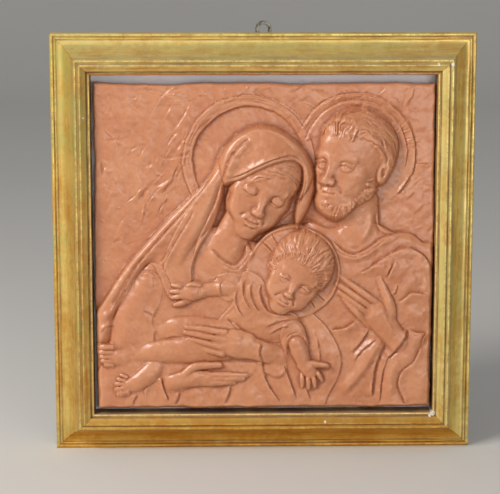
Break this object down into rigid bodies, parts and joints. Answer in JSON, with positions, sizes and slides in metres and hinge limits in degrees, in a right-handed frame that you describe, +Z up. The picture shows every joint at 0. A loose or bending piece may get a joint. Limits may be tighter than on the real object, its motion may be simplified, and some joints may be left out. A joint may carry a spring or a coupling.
{
  "type": "framed terracotta relief panel",
  "caption": "Square terracotta high relief of a veiled woman, a bearded man and a small child with haloes, in a gilded wood frame with a metal hanging eye.",
  "frame": {"origin": "middle of the hanging eye's hole, on the plane of the frame's back, where it meets the wall", "axes": "+Z up, -Y out of the picture towards the viewer, +X to the viewer's right"},
  "size_m": [0.6, 0.0708, 0.6159],
  "materials": {
    "gilding": "worn gilding over a red-brown ground",
    "board": "pale matt paint",
    "terracotta": "satin, unglazed",
    "steel": "dull grey"
  },
  "bodies": {
    "root": {"frame_rail_top": "gilding", "frame_rail_right": "gilding", "frame_rail_bottom": "gilding", "frame_rail_left": "gilding", "backing_board": "board", "relief_panel": "terracotta", "hanging_eye": "steel"}
  },
  "joints": []
}
